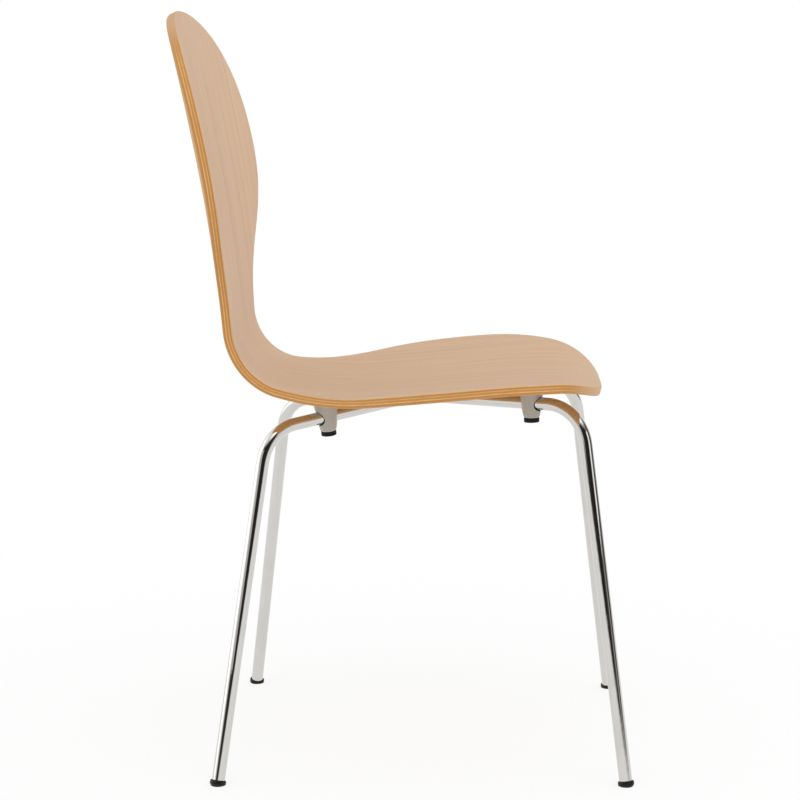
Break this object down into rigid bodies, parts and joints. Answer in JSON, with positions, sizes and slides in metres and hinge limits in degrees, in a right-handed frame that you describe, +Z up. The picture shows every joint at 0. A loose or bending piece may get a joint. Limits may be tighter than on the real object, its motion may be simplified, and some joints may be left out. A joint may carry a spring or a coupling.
{
  "type": "stacking chair",
  "caption": "Stacking chair with a waisted one-piece moulded plywood shell in pale beech, on bent chrome-plated tubes joined under the seat, with black foot glides.",
  "frame": {"origin": "on the floor, under the middle of the chair's outer box", "axes": "+Z up; the sitter faces -Y; +X is the sitter's left"},
  "size_m": [0.4842, 0.5386, 0.8758],
  "materials": {
    "shell_wood": "beech veneer under a clear satin lacquer, layers of ply showing at the edge",
    "tube_chrome": "bright chrome plating",
    "saddle_plastic": "warm grey moulded nylon, fine satin texture",
    "bumper_rubber": "black moulded rubber",
    "glide_plastic": "black moulded plastic, scuffed at the floor",
    "fixing_steel": "bright zinc plating"
  },
  "bodies": {
    "root": {"seat_shell": "shell_wood", "frame_tube_left": "tube_chrome", "frame_tube_right": "tube_chrome", "centre_plate": "tube_chrome", "rear_saddle_left": "saddle_plastic", "rear_bumper_left": "bumper_rubber", "rear_screw_left": "fixing_steel", "rear_insert_left": "fixing_steel", "rear_glide_left": "glide_plastic", "front_saddle_left": "saddle_plastic", "front_bumper_left": "bumper_rubber", "front_screw_left": "fixing_steel", "front_insert_left": "fixing_steel", "front_glide_left": "glide_plastic", "rear_saddle_right": "saddle_plastic", "rear_bumper_right": "bumper_rubber", "rear_screw_right": "fixing_steel", "rear_insert_right": "fixing_steel", "rear_glide_right": "glide_plastic", "front_saddle_right": "saddle_plastic", "front_bumper_right": "bumper_rubber", "front_screw_right": "fixing_steel", "front_insert_right": "fixing_steel", "front_glide_right": "glide_plastic"}
  },
  "joints": []
}
